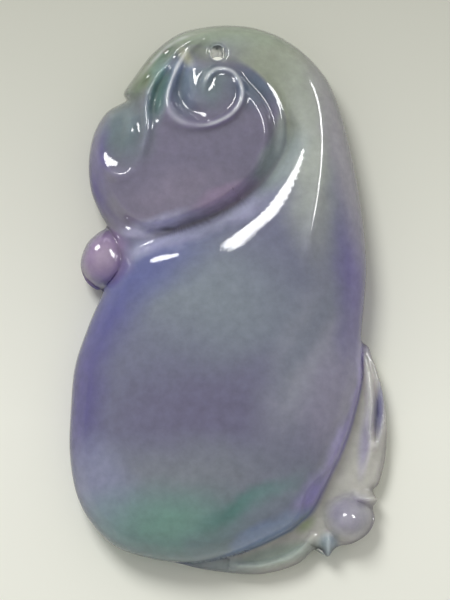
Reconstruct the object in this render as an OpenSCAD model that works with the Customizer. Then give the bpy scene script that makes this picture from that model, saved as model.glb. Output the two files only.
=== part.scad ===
// Carved jadeite pendant: a plump ruyi whose drop-shaped body rises on the right, curls over the
// top as a crook and ends in a two-lobed ruyi head, with a round bud at the left and a small bat
// at the lower right. One stone, cut from one piece, with a drilled hole for a cord.
// It lies on its flat back: +X to the right, +Y to the end with the hole, +Z out of the front.
// All tables are in millimetres at the stone's own size, with the middle of the outline as origin.

/* [Stone] */
// Length of the stone, from the bottom edge to the top of the crook
stone_length = 55; // [50:0.5:60]
// Width of the stone, from the left side of the body to the bat's wing
stone_width = 31.5; // [29:0.5:34]
// Thickness of the stone, from the flat back to the crown of the body
stone_depth = 10; // [9:0.25:11]

/* [Cord hole] */
// Diameter of the drilled hole
hole_d = 1.6; // [1.4:0.1:2]
// Width of the small dish worn and polished round the hole's front end
dish_w = 2.2; // [1.8:0.1:2.6]
// Depth of that dish
dish_depth = 0.35; // [0.1:0.05:0.6]

/* [Carving] */
// Height of the crown of the ruyi head above the back
head_z = 9.4; // [8.5:0.1:10]
// Depth of the valley between the ruyi head and the body
valley_depth = 2.8; // [2:0.1:3.2]
// Height of the raised lips round the two volutes
lip_h = 0.9; // [0.5:0.1:1.2]
// Depth of the hollows scooped inside the volutes
scoop_depth = 1.5; // [0.8:0.1:1.8]
// Depth of the cleft between the stem and the right volute
cleft_depth = 1.6; // [1:0.1:2]
// Height of the ridges along the stem and the crook
ridge_h = 0.8; // [0.4:0.1:1]
// Height of the step cut along the body's lower right edge
ledge_h = 0.9; // [0.4:0.1:1.2]

/* [Bat and bud] */
// Height of the thin plate that the bat is carved from
plate_z = 2.5; // [2.2:0.1:2.8]
// Diameter of the bat's round head
bat_head_d = 4.7; // [4.3:0.1:5]
// Height of the crests along the bat's wings
wing_h = 0.8; // [0.4:0.1:1]
// Height of the bat's ears above the plate
ear_h = 1.2; // [0.8:0.1:1.5]
// Height of the bud above its lower half
bud_h = 3.6; // [3:0.1:4]

/* [Facets] */
// Length of one facet along the outline
facet = 1.1; // [1:0.05:1.6]
// Number of rings of facets from the middle to the body's edge
body_rings = 27; // [18:1:28]
// Number of rings of facets across the rim, the bat and the bud
rim_rings = 8; // [6:1:9]

/* [Hidden] */

// The size that the tables are drawn at
TABLE_SIZE = [31.5, 55, 10];
sx = stone_width / TABLE_SIZE[0];
sy = stone_length / TABLE_SIZE[1];
sz = stone_depth / TABLE_SIZE[2];

// Outline, clockwise from the top of the crook. Columns: x, y, height of the widest line. Beside the
// bat and the bud two more columns give x and y of the body's own edge, which runs on inside them.
CROOK_EDGE = [
    [0, 27.6, 2.6], [2.7, 27.3, 2.6], [5.5, 26.2, 2.6], [8.4, 23.9, 2.6], [10.5, 20.7, 2.6],
    [12.1, 15.1, 2.6], [13.2, 9.1, 2.6], [13.7, 3.6, 2.6], [13.5, 0, 2.6], [13.2, -3.3, 2.6],
];
WING_EDGE = [
    [13.3, -4.3, 2.1, 13.2, -4.4], [13.9, -4.8, 1.8, 13.2, -5.4], [14.3, -5.9, 1.6, 13.2, -6.6],
    [14.8, -7.3, 1.6, 13.2, -7.9], [15.4, -9.8, 1.5, 12.8, -10.1], [15.7, -13.2, 1.5, 12, -13],
    [15.5, -16, 1.5, 11.1, -15.4], [14.9, -18.3, 1.6, 10.1, -17.5],
];
BAT_HEAD_EDGE = [
    [14.3, -19.1, 1.7, 9.7, -18.3], [14.7, -20.1, 1.7, 9.4, -18.9], [14.3, -20.8, 1.9, 9.1, -19.5],
    [14.4, -22.2, 2.4, 8.7, -20.3], [13.7, -23.5, 2.5, 8.3, -21], [12.3, -24.4, 2.4, 7.8, -21.7],
    [10.9, -24.7, 2.2, 7.1, -22.3], [10.4, -25, 1.8, 6.6, -22.7], [9.8, -25.7, 1.6, 6.1, -23.1],
    [9.1, -25, 1.7, 5.6, -23.4],
];
LOW_WING_EDGE = [
    [8.3, -25.1, 1.7, 5, -23.7], [7.1, -26.2, 1.5, 4, -24.2], [5.5, -26.9, 1.4, 2.9, -24.7],
    [3.3, -27.4, 1.4, 1.6, -25.2], [1.3, -27.4, 1.4, 0.3, -25.6], [-0.7, -27.2, 1.5, -1.3, -26],
    [-2.9, -26.9, 1.8, -3.1, -26.3], [-5.1, -26.4, 2.4, -5.1, -26.3],
];
DROP_EDGE = [
    [-7.6, -26, 2.6], [-11, -24.9, 2.6], [-13.5, -22.6, 2.6], [-15.1, -19.6, 2.6], [-15.8, -15.5, 2.6],
    [-15.7, -11, 2.6], [-15.3, -6.8, 2.6], [-14, -2.8, 2.6], [-12.7, 0.3, 2.6],
];
BUD_EDGE = [
    [-12.7, 0.9, 2.3, -12.5, 1], [-13.3, 1, 2.2, -12.3, 1.5], [-14.3, 1.9, 2.2, -12, 2.3],
    [-14.8, 3.6, 2.3, -11.6, 3.6], [-14.2, 5.5, 2.3, -11.6, 5.3], [-13.1, 6.6, 2.3, -11.9, 6.6],
];
HEAD_EDGE = [
    [-12.2, 7.3, 2.6], [-13, 8.8, 2.6], [-13.8, 11, 2.6], [-14, 13.8, 2.6], [-13.5, 16.6, 2.6],
    [-12.3, 18.7, 2.6], [-10.9, 19.6, 2.6], [-10.3, 20, 2.6], [-10.5, 20.8, 2.6], [-9.3, 22.6, 2.6],
    [-7.6, 24.8, 2.6], [-5.1, 26.7, 2.6], [-2.6, 27.4, 2.6],
];
OUTLINE = concat(CROOK_EDGE, WING_EDGE, BAT_HEAD_EDGE, LOW_WING_EDGE, DROP_EDGE, BUD_EDGE, HEAD_EDGE);

// Height that the widest line of the body and head has all round
RIM_Z = 2.6;
// The tables are laid out as seen with the lower end turned 8 degrees to the eye, so what stands
// above the rim lies this much lower per unit of height than the tables have it
LEAN = 0.14;
// How far in from its edge the body goes on rising, by y, and how full its side is
ROLL_IN = [[-4, 12.5], [3, 10.5], [9, 8], [16, 5.5], [20, 4], [24, 2.8]];
SIDE_FULL = 2.6;
SIDE_ROOT = 2.1;
// Where the body is thickest along its length, and how the crown falls away from there
CROWN_Y = -6;
CROWN_FALL_Y = 3.8 / 35 / 35;
CROWN_FALL_X = 1.1 / 12 / 12;

// Ruyi head: middle, heights of the foot and the shoulder of its wall, the share of its reach that
// the wall takes, and its reach by direction (degrees, 0 is right)
HEAD_MID = [-4.2, 14.8];
HEAD_FOOT_Z = 5;
HEAD_SHOULDER_Z = 7.9;
HEAD_WALL = 0.24;
HEAD_REACH = [
    [0, 9.7], [12, 10.4], [32, 10.7], [57, 10.6], [90, 10.8], [135, 11.2], [180, 11.2], [215, 10.9],
    [238, 11], [248, 9.7], [259, 8.5], [270, 7.8], [286, 7.4], [298, 7.3], [311, 7.4], [323, 7.7],
    [336, 8.3], [348, 9],
];
// The same reach over three turns, and the turns over which it is evened out
HEAD_REACH_LAPS = [for (lap = [-360, 0, 360]) for (r = HEAD_REACH) [r[0] + lap, r[1]]];
HEAD_REACH_BLUR = [-12, -6, 0, 6, 12];
// How far the body dips away under the head, and from which y down it does so fully
HEAD_SINK = 1.6;
SINK_Y = [24, 18];

// Carved lines on the stone. Columns: x, y, share of the line's full height, half width.
VALLEY = [
    [2.1, 23.5, 0, 0.5], [3.5, 22.4, 0.1, 0.5], [4.9, 20.5, 0.2, 0.5], [5.8, 18.1, 0.4, 0.6],
    [6.1, 16.6, 0.6, 0.8], [5.6, 14.6, 0.7, 0.8], [3.4, 11.4, 0.8, 0.9],
    [0.7, 9.2, 0.9, 1.2], [-2.2, 7.7, 1, 1.4], [-5.7, 6.5, 1.1, 1.2], [-8.6, 5.5, 1, 1.1],
    [-10.1, 4.4, 0.8, 1], [-11.1, 3.2, 0.4, 0.9], [-12.1, 1.4, 0.1, 0.7],
];
// The wider bank along the body's side of the valley, and the share of the depth that it takes
BANK = [
    [4.9, 20.5, 0.1, 1.2], [5.9, 18.1, 0.4, 1.4], [6.1, 16.6, 0.7, 1.6], [5.6, 14.6, 0.95, 2],
    [3.4, 11.4, 1.15, 2.7], [0.7, 9.2, 1.3, 3.5], [-1.5, 8, 1.4, 4.4], [-3.2, 7.5, 1.2, 4.8],
    [-4.8, 7, 0.8, 5], [-6.3, 6.4, 0.4, 5], [-7.8, 5.8, 0.1, 5], [-9, 5.4, 0, 5],
];
BANK_SHARE = 0.45;
CROOK_RIDGE = [
    [7, 24.2, 0.1, 0.7], [7.7, 23.4, 0.3, 0.7], [8.3, 22.2, 0.4, 0.7], [8.9, 20.7, 0.4, 0.7],
    [9.2, 19.2, 0.4, 0.7], [9.3, 16.3, 0.4, 0.7], [9.1, 13.3, 0.5, 0.7], [8.6, 9.8, 0.6, 0.75],
    [8.1, 7.2, 0.7, 0.8], [7.7, 5, 0.6, 0.8], [7.4, 3.4, 0, 0.8],
];
OUTER_STEM_RIDGE = [
    [-1.9, 26.9, 0.3, 0.5], [-4, 26.4, 0.9, 0.5], [-5.4, 25.8, 1, 0.5], [-6.6, 24.9, 1, 0.5],
    [-7.7, 23.7, 1, 0.5], [-8.6, 22.4, 0.8, 0.5], [-9.5, 21.1, 0.4, 0.5],
];
INNER_STEM_RIDGE = [
    [0.3, 27.3, 0.1, 0.4], [-1.3, 27, 0.5, 0.4], [-2.8, 26.4, 0.8, 0.45], [-4, 25.8, 0.9, 0.45],
    [-5.1, 24.9, 1, 0.45], [-6, 23.7, 1, 0.45], [-6.9, 22.4, 1, 0.45], [-7.6, 21.4, 1, 0.45],
    [-8.1, 20.3, 0.9, 0.45], [-8.2, 19, 0.9, 0.45], [-8.1, 17.7, 0.8, 0.45], [-8.4, 15.6, 0.6, 0.45],
    [-9.1, 13.8, 0.2, 0.5],
];
CLEFT = [
    [-4.1, 25.2, 0.1, 0.5], [-5.3, 24.1, 0.4, 0.6], [-6.3, 22.8, 0.7, 0.7], [-6.9, 21.6, 0.8, 0.8],
    [-7.2, 20.3, 0.8, 0.8], [-7.4, 19.2, 0.6, 0.7], [-7.5, 18.3, 0.2, 0.6], [-7.5, 17.7, 0, 0.6],
];
RIGHT_LIP = [
    [-1.5, 26.2, 0.2, 0.4], [-2.8, 25.8, 0.4, 0.4], [-3.8, 25.2, 0.6, 0.4], [-4.5, 24.4, 0.8, 0.4],
    [-5, 23.5, 0.9, 0.4], [-5.4, 22.5, 0.9, 0.4], [-5.8, 21.4, 0.9, 0.4], [-6.1, 20.3, 0.9, 0.5],
    [-6, 19.3, 0.8, 0.7], [-5.6, 18.4, 0.8, 0.8], [-4.8, 17.7, 0.8, 0.7], [-3.5, 17.3, 0.7, 0.5],
    [-2.2, 17.3, 0.8, 0.4], [-1, 17.7, 0.9, 0.4], [0.2, 18.4, 0.9, 0.4], [1, 19.4, 0.9, 0.4],
    [1.3, 20.6, 0.9, 0.4], [1.1, 21.7, 0.9, 0.4], [0.5, 22.6, 0.9, 0.4], [-0.3, 23, 0.9, 0.4],
    [-1.2, 23, 0.9, 0.4], [-1.9, 22.5, 0.9, 0.4], [-2.3, 21.9, 0.9, 0.4], [-2.5, 21.2, 0.5, 0.4],
    [-2.5, 20.5, 0, 0.4],
];
RIGHT_SCOOP = [
    [-4.2, 23.8, 0.3, 0.6], [-4.7, 22.4, 0.7, 0.8], [-4.9, 20.8, 1, 0.9], [-4.5, 19.4, 0.9, 0.8],
    [-3.4, 18.7, 0.4, 0.7], [-2.4, 18.8, 0.1, 0.6],
];
LEFT_LIP = [
    [-12.7, 17, 0.1, 0.5], [-12.9, 15.6, 0.3, 0.5], [-12.8, 14.3, 0.5, 0.5], [-12.3, 13.1, 0.6, 0.5],
    [-11.4, 12.4, 0.6, 0.5], [-10.4, 12.3, 0.4, 0.5], [-9.5, 12.8, 0.1, 0.5],
];
LEFT_SCOOP = [
    [-9.6, 19, 0.2, 0.7], [-10.2, 18.2, 0.3, 0.8], [-10.9, 16.8, 0.4, 1], [-11.3, 15.2, 0.4, 1],
    [-10.9, 13.9, 0.3, 0.8], [-10, 13.9, 0.1, 0.7],
];
LEFT_KNOB = [[-9.9, 18, 0.5, 0.6], [-9.7, 16.7, 0.5, 0.6]];
RIGHT_KNOB = [[-2.2, 21, 0.4, 1.1], [-2, 20.4, 0.4, 1.1]];
OUTER_WING_CREST = [
    [13.9, -5.2, 0.4, 0.3], [14.6, -7, 0.8, 0.3], [15.2, -9.4, 1, 0.3], [15.4, -11.4, 1, 0.3],
    [15.1, -13.2, 0.9, 0.3], [14.6, -14.8, 0.5, 0.3],
];
INNER_WING_CREST = [
    [13.5, -5.8, 0.4, 0.3], [13.9, -8.2, 0.8, 0.35], [14.1, -10.7, 1, 0.35], [14, -12.7, 1, 0.35],
    [14.1, -14.7, 0.8, 0.35], [13.7, -16.4, 0.4, 0.4], [13.1, -17.8, 0.2, 0.4],
];
WING_HOLLOW = [
    [14.5, -8.6, 0.4, 0.3], [14.8, -10.6, 1, 0.4], [14.6, -12.6, 1, 0.4], [14.4, -14.2, 0.4, 0.3],
];
LOW_WING_CREST = [
    [8.3, -23.8, 0.4, 0.4], [7.5, -24.8, 0.6, 0.4], [6.3, -25.7, 0.7, 0.4], [4.7, -26.3, 0.7, 0.35],
    [2.9, -26.7, 0.6, 0.3], [1.1, -26.7, 0.6, 0.3],
];
RIGHT_EAR = [[12.8, -19.9, 1, 0.5], [13.7, -20, 1, 0.45], [14.7, -20, 0.7, 0.35]];
LOW_EAR = [[9.8, -23.8, 1, 0.5], [9.8, -24.7, 1, 0.45], [9.8, -25.6, 0.7, 0.35]];
// The step along the lower right edge of the body, from its upper end down
LEDGE = [
    [14.2, 0], [13.3, -5.4], [13.1, -7.7], [12.5, -10.7], [11.4, -14.2], [10.1, -16.8], [8.2, -18.5],
    [7.3, -20.1], [7, -21.8],
];
LEDGE_RUN = 0.35;

// Middles of the bat's head, of the bud and of the hole
BAT_HEAD_MID = [11.8, -22];
BUD_MID = [-12.4, 4.1];
HOLE_MID = [-1.15, 24.1];
// Height of the hole's front end, and the place that this gives the dish round it in the tables
HOLE_FRONT_Z = 6.7;
DISH_MID = HOLE_MID + [0, LEAN * (HOLE_FRONT_Z - RIM_Z)];
// Height of the crown of the bat's head above the plate
BAT_HEAD_H = 2.6;
// Half length, half width and turn of the bud, and the height of its widest line
BUD_HALF = [3.3, 2.6];
BUD_TURN = 20;
BUD_FOOT_Z = 2.2;
// How far the edges of the bat and the bud are rounded, and how soft forms run together
THIN_ROLL = 0.9;
FILLET = 1;
SMALL_FILLET = 0.2;

// Where all spokes of the skin start, on the crown of the ruyi head
SPOKE_MID = [-2.5, 14.5];
// The last rings cross the bat and the bud. Elsewhere they take this share of the spoke.
STRIP_SHARE = 0.07;
// Spokes longer than this crowd their rings towards both ends
EVEN_SPOKE = 17;
// Rows under the widest line. Columns: distance in from the outline, share of the rim's height.
UNDER = [[0.3, 0.45], [0.9, 0.12], [1.8, 0]];
// How far to the right and left of the outline's first point the one large back facet reaches
// that the hole ends in
BACK_FACET = [1.6, 3.6];

function clamp(v, low = 0, high = 1) = min(high, max(low, v));
function ramp(v, from, to) = let (t = clamp((v - from) / (to - from))) t * t * (3 - 2 * t);
function quarter(t) = sqrt(max(0, 1 - t * t));
function xy(p) = [p[0], p[1]];
function mean(list) = list * [for (v = list) 1] / len(list);

// Greater of two heights, with a fillet of the given size
function soft_max(a, b, r) = let (h = clamp(0.5 + 0.5 * (a - b) / r)) b + (a - b) * h + r * h * (1 - h);

// Point at share f between rows i and i + 1 of a closed table, on a smooth curve
function smooth_row(t, i, f) =
    let (n = len(t), a = t[(i + n - 1) % n], b = t[i], c = t[(i + 1) % n], d = t[(i + 2) % n])
    0.5 * (2 * b + (c - a) * f + (2 * a - 5 * b + 4 * c - d) * f * f + (3 * b - a - 3 * c + d) * f * f * f);

// A closed table filled up with points about one step apart
function closed_line(t, step) = [
    for (i = [0:len(t) - 1])
        let (n = max(1, round(norm(xy(t[(i + 1) % len(t)]) - xy(t[i])) / step)))
            for (j = [0:n - 1]) smooth_row(t, i, j / n)
];

// Nearest place on the stretch from a to b: its share of the stretch, and the distance to it
function near(p, a, b) =
    let (d = b - a, t = clamp((p - a) * d / (d * d))) [t, norm(p - a - t * d)];

// Height that a carved line adds at a point: full on the line, fading to both sides
function carved(p, line) =
    max([
        for (i = [0:len(line) - 2])
            let (n = near(p, xy(line[i]), xy(line[i + 1])), q = line[i] + n[0] * (line[i + 1] - line[i]))
                q[2] * exp(-pow(n[1] / q[3], 2))
    ]);

// Distance from a point to a closed line
function gap_to(p, line) =
    min([for (i = [0:len(line) - 1]) near(p, line[i], line[(i + 1) % len(line)])[1]]);

// Signed distance to an open line: positive on the left of its way
function side_of(p, line) =
    let (
        all = [for (i = [0:len(line) - 2]) near(p, line[i], line[i + 1])[1]],
        best = min(all),
        k = search(best, all)[0],
        d = line[k + 1] - line[k],
        e = p - line[k]
    ) (d[0] * e[1] - d[1] * e[0] > 0 ? best : -best);

// Crown of the body before its sides are rounded off
function body_crown(p) =
    TABLE_SIZE[2] - CROWN_FALL_Y * pow(p[1] - CROWN_Y, 2) - CROWN_FALL_X * pow(p[0], 2)
    - valley_depth * ((1 - BANK_SHARE) * carved(p, VALLEY) + BANK_SHARE * carved(p, BANK))
    + ridge_h * carved(p, CROOK_RIDGE);

// How far out on the ruyi head a point lies: 0 at its middle, 1 at its foot and beyond
function head_out(p) =
    let (
        d = p - HEAD_MID,
        reach = [for (b = HEAD_REACH_BLUR) lookup(atan2(d[1], d[0]) + b, HEAD_REACH_LAPS)]
    )
    min(1, norm(d) / mean(reach));

// Cushion of the ruyi head
function head_crown(out) =
    HEAD_FOOT_Z + (HEAD_SHOULDER_Z - HEAD_FOOT_Z) * ramp(1 - out, 0, HEAD_WALL)
    + (head_z - HEAD_SHOULDER_Z) * (1 - out * out);

// Everything carved on the body and the head, before their sides are rounded off
function carved_crown(p) =
    let (
        out = head_out(p),
        sink = HEAD_SINK * ramp(1 - out, 0, HEAD_WALL) * ramp(p[1], SINK_Y[0], SINK_Y[1])
    )
    soft_max(body_crown(p) - sink, head_crown(out), FILLET)
    + lip_h * (carved(p, RIGHT_LIP) + carved(p, LEFT_LIP))
    - scoop_depth * (carved(p, RIGHT_SCOOP) + carved(p, LEFT_SCOOP))
    + scoop_depth / 2 * (carved(p, LEFT_KNOB) + carved(p, RIGHT_KNOB))
    + ridge_h * (carved(p, INNER_STEM_RIDGE) + carved(p, OUTER_STEM_RIDGE))
    - cleft_depth * carved(p, CLEFT)
    - ledge_h * ramp(side_of(p, LEDGE), -LEDGE_RUN / 2, LEDGE_RUN)
    - dish_depth * ramp(norm(p - DISH_MID), dish_w / 2, hole_d / 2);

// Height of the body and head at a point, falling to the widest line at their edge
function body_z(p, body_line) =
    let (in = clamp(1 - gap_to(p, body_line) / lookup(p[1], ROLL_IN)))
    RIM_Z + (carved_crown(p) - RIM_Z) * pow(1 - pow(in, SIDE_FULL), 1 / SIDE_ROOT);

// Bat: a thin plate with wing crests, two ears and a round head
function bat_z(p) =
    let (
        plate = plate_z
            + wing_h * (carved(p, OUTER_WING_CREST) + carved(p, INNER_WING_CREST) + carved(p, LOW_WING_CREST)
                - carved(p, WING_HOLLOW))
            + ear_h * (carved(p, RIGHT_EAR) + carved(p, LOW_EAR)),
        off = norm(p - BAT_HEAD_MID) / (bat_head_d / 2)
    ) soft_max(plate, plate_z + BAT_HEAD_H * (1 - off * off), SMALL_FILLET);

// Bud: the upper half of an egg
function bud_z(p) =
    let (
        d = p - BUD_MID,
        along = (d[1] * cos(BUD_TURN) - d[0] * sin(BUD_TURN)) / BUD_HALF[0],
        across = (d[0] * cos(BUD_TURN) + d[1] * sin(BUD_TURN)) / BUD_HALF[1]
    ) BUD_FOOT_Z + bud_h * sqrt(max(0, 1 - along * along - across * across));

// Height of the bat or the bud at a point, rounded down to the rim at the outline
function outer_z(p, rim, outline) =
    let (full = max(rim, p[0] > 0 ? bat_z(p) : bud_z(p)))
    rim + (full - rim) * quarter(1 - clamp(gap_to(p, outline) / THIN_ROLL));

// A point of the tables in its true place
function leaned(p) = [p[0], p[1] - LEAN * max(0, p[2] - RIM_Z), p[2]];

// A share from 0 to 1 that grows slowly at both ends and faster between, by the amount c
function crowded(u, c) = u - c * sin(360 * u) / (2 * PI);

// Two facets over four corners, folded along the diagonal that climbs less
function flatter_pair(points, a, b, c, d) =
    abs(points[a][2] - points[c][2]) < abs(points[b][2] - points[d][2])
        ? [[a, d, c], [a, c, b]] : [[a, d, b], [d, c, b]];

// Distance by which two points that are nearly one count as one
NEAR_ZERO = 0.05;

// The stone as one closed skin. Spokes run from the middle to the body's own edge, and strips from
// there across the bat and the bud to the outline. The skin turns under there and ends on the back.
module stone_skin() {
    outline = closed_line([for (o = OUTLINE) len(o) > 3 ? o : [o[0], o[1], o[2], o[0], o[1]]], facet);
    out_line = [for (o = outline) xy(o)];
    body_line = [for (o = outline) [o[3], o[4]]];
    // Reach of the body's own edge by direction, with one turn added at each end
    body_reach = [
        for (lap = [-360, 0, 360]) for (p = body_line)
            let (d = p - SPOKE_MID) [atan2(d[1], d[0]) + lap, norm(d)]
    ];
    n = len(outline);
    // Ends of the spokes: the body's own edge, drawn in where the outline is too near to it
    ends = [
        for (i = [0:n - 1])
            let (
                wide = norm(out_line[i] - body_line[i]),
                strip = STRIP_SHARE * norm(out_line[i] - SPOKE_MID)
            )
            SPOKE_MID + (1 - STRIP_SHARE * clamp(1 - wide / strip)) * (body_line[i] - SPOKE_MID)
    ];
    top_rings = [
        for (k = [1:body_rings + rim_rings]) [
            for (i = [0:n - 1])
                let (
                    o = out_line[i],
                    d = ends[i] - SPOKE_MID,
                    over = max(0, k - body_rings) / rim_rings,
                    q = k <= body_rings
                        ? SPOKE_MID + crowded(k / body_rings, clamp(1 - EVEN_SPOKE / norm(d))) * d
                        : ends[i] + (1 - pow(1 - over, 1.6)) * (o - ends[i]),
                    e = q - SPOKE_MID,
                    inside = norm(e) <= lookup(atan2(e[1], e[0]), body_reach) + 0.001,
                    on_edge = norm(q - body_line[i]) < 0.001,
                    body = on_edge ? RIM_Z : inside ? body_z(q, body_line) : 0,
                    plain = norm(o - body_line[i]) < NEAR_ZERO,
                    outer = plain ? 0 : outer_z(q, outline[i][2], out_line),
                    z = k == body_rings + rim_rings
                        ? outline[i][2] : max(outline[i][2], soft_max(body, outer, SMALL_FILLET))
                ) leaned([q[0], q[1], z])
        ]
    ];
    under_rings = [
        for (u = UNDER) [
            for (i = [0:n - 1])
                let (
                    d = ends[i] - out_line[i],
                    q = out_line[i] + u[0] * d / norm(d)
                ) [q[0], q[1], outline[i][2] * u[1]]
        ]
    ];
    rings = concat(top_rings, under_rings);
    crown = leaned([SPOKE_MID[0], SPOKE_MID[1], body_z(SPOKE_MID, body_line)]);
    points = concat([crown], [for (r = rings) for (p = r) p], [[SPOKE_MID[0], SPOKE_MID[1], 0]]);
    // On the back, the last ring's points right and left of the hole and the facets between them
    last = len(rings) * n - n + 1;
    back_mid = len(points) - 1;
    right = ceil(BACK_FACET[0] / facet);
    left = n - ceil(BACK_FACET[1] / facet);
    faces = concat(
        [for (i = [0:n - 1]) [0, 1 + i, 1 + (i + 1) % n]],
        [
            for (k = [0:len(rings) - 2]) for (i = [0:n - 1])
                let (a = 1 + k * n + i, b = 1 + k * n + (i + 1) % n, c = b + n, d = a + n)
                    each flatter_pair(points, a, b, c, d)
        ],
        [for (i = [right:left - 1]) [last + i + 1, last + i, back_mid]],
        [for (i = [left:n + right - 2]) [last + (i + 1) % n, last + i % n, last + right]],
        [[last + right, last + left, back_mid]]
    );
    scale([sx, sy, sz]) polyhedron(points, faces, convexity = 8);
}

// The whole pendant: the carved stone with the cord hole drilled straight through
module carved_stone() {
    color("#8a86a8")
    difference() {
        stone_skin();
        translate([HOLE_MID[0] * sx, HOLE_MID[1] * sy, -1])
            cylinder(d = hole_d, h = stone_depth + 2, $fn = 48);
    }
}

carved_stone();
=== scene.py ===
"""Looks of a carved jadeite pendant: a plump ruyi that curls over into a lobed head, a bud and a small bat.

The stone is one surface, worked out on a grid with numpy from the same tables as its CAD source. It lies on
its flat back on a plain pale floor, and the camera looks down on it a little from its lower end.
"""
import math

import bpy
import numpy as np
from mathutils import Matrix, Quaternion, Vector


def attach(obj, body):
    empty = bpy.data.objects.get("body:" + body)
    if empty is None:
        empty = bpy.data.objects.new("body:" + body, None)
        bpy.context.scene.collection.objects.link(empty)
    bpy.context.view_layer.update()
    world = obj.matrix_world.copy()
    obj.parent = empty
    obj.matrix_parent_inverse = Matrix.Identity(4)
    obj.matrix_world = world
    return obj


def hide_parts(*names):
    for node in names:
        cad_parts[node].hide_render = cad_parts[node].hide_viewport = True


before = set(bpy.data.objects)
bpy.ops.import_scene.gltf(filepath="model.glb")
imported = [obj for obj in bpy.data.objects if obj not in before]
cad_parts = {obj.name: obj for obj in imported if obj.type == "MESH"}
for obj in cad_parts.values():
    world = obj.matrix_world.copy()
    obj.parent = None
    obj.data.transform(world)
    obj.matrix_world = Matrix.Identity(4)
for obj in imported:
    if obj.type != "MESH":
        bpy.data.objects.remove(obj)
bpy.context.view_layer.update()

# Shape tables are in millimetres, as in the CAD source, and Blender's own unit is the metre
MM = 0.001
STONE_DEPTH = 10.0
HOLE_D = 1.6
HOLE_MID = (-1.15, 24.1)
HOLE_FRONT_Z = 6.7

# Driving sizes of the carving: widths, heights and depths
DISH_W = 2.2
DISH_DEPTH = 0.35
HEAD_Z = 9.4
VALLEY_DEPTH = 2.8
LIP_H = 0.9
SCOOP_DEPTH = 1.5
CLEFT_DEPTH = 1.6
RIDGE_H = 0.8
LEDGE_H = 0.9
PLATE_Z = 2.5
BAT_HEAD_D = 4.7
WING_H = 0.8
EAR_H = 1.2
BUD_H = 3.6

# Outline, clockwise from the top of the crook. Columns: x, y, height of the widest line. Beside the bat
# and the bud two more columns give x and y of the body's own edge, which runs on inside them.
CROOK_EDGE = [
    (0, 27.6, 2.6), (2.7, 27.3, 2.6), (5.5, 26.2, 2.6), (8.4, 23.9, 2.6), (10.5, 20.7, 2.6),
    (12.1, 15.1, 2.6), (13.2, 9.1, 2.6), (13.7, 3.6, 2.6), (13.5, 0, 2.6), (13.2, -3.3, 2.6),
]
WING_EDGE = [
    (13.3, -4.3, 2.1, 13.2, -4.4), (13.9, -4.8, 1.8, 13.2, -5.4), (14.3, -5.9, 1.6, 13.2, -6.6),
    (14.8, -7.3, 1.6, 13.2, -7.9), (15.4, -9.8, 1.5, 12.8, -10.1), (15.7, -13.2, 1.5, 12, -13),
    (15.5, -16, 1.5, 11.1, -15.4), (14.9, -18.3, 1.6, 10.1, -17.5),
]
BAT_HEAD_EDGE = [
    (14.3, -19.1, 1.7, 9.7, -18.3), (14.7, -20.1, 1.7, 9.4, -18.9), (14.3, -20.8, 1.9, 9.1, -19.5),
    (14.4, -22.2, 2.4, 8.7, -20.3), (13.7, -23.5, 2.5, 8.3, -21), (12.3, -24.4, 2.4, 7.8, -21.7),
    (10.9, -24.7, 2.2, 7.1, -22.3), (10.4, -25, 1.8, 6.6, -22.7), (9.8, -25.7, 1.6, 6.1, -23.1),
    (9.1, -25, 1.7, 5.6, -23.4),
]
LOW_WING_EDGE = [
    (8.3, -25.1, 1.7, 5, -23.7), (7.1, -26.2, 1.5, 4, -24.2), (5.5, -26.9, 1.4, 2.9, -24.7),
    (3.3, -27.4, 1.4, 1.6, -25.2), (1.3, -27.4, 1.4, 0.3, -25.6), (-0.7, -27.2, 1.5, -1.3, -26),
    (-2.9, -26.9, 1.8, -3.1, -26.3), (-5.1, -26.4, 2.4, -5.1, -26.3),
]
DROP_EDGE = [
    (-7.6, -26, 2.6), (-11, -24.9, 2.6), (-13.5, -22.6, 2.6), (-15.1, -19.6, 2.6), (-15.8, -15.5, 2.6),
    (-15.7, -11, 2.6), (-15.3, -6.8, 2.6), (-14, -2.8, 2.6), (-12.7, 0.3, 2.6),
]
BUD_EDGE = [
    (-12.7, 0.9, 2.3, -12.5, 1), (-13.3, 1, 2.2, -12.3, 1.5), (-14.3, 1.9, 2.2, -12, 2.3),
    (-14.8, 3.6, 2.3, -11.6, 3.6), (-14.2, 5.5, 2.3, -11.6, 5.3), (-13.1, 6.6, 2.3, -11.9, 6.6),
]
HEAD_EDGE = [
    (-12.2, 7.3, 2.6), (-13, 8.8, 2.6), (-13.8, 11, 2.6), (-14, 13.8, 2.6), (-13.5, 16.6, 2.6),
    (-12.3, 18.7, 2.6), (-10.9, 19.6, 2.6), (-10.3, 20, 2.6), (-10.5, 20.8, 2.6), (-9.3, 22.6, 2.6),
    (-7.6, 24.8, 2.6), (-5.1, 26.7, 2.6), (-2.6, 27.4, 2.6),
]
OUTLINE = CROOK_EDGE + WING_EDGE + BAT_HEAD_EDGE + LOW_WING_EDGE + DROP_EDGE + BUD_EDGE + HEAD_EDGE

# Body: height of its widest line, how far in its edge rolls, how full its side is, and its crown
RIM_Z = 2.6
ROLL_IN = [(-4, 12.5), (3, 10.5), (9, 8), (16, 5.5), (20, 4), (24, 2.8)]
SIDE_FULL = 2.6
SIDE_ROOT = 2.1
CROWN_Y = -6.0
CROWN_FALL_Y = 3.8 / 35 / 35
CROWN_FALL_X = 1.1 / 12 / 12

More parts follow.
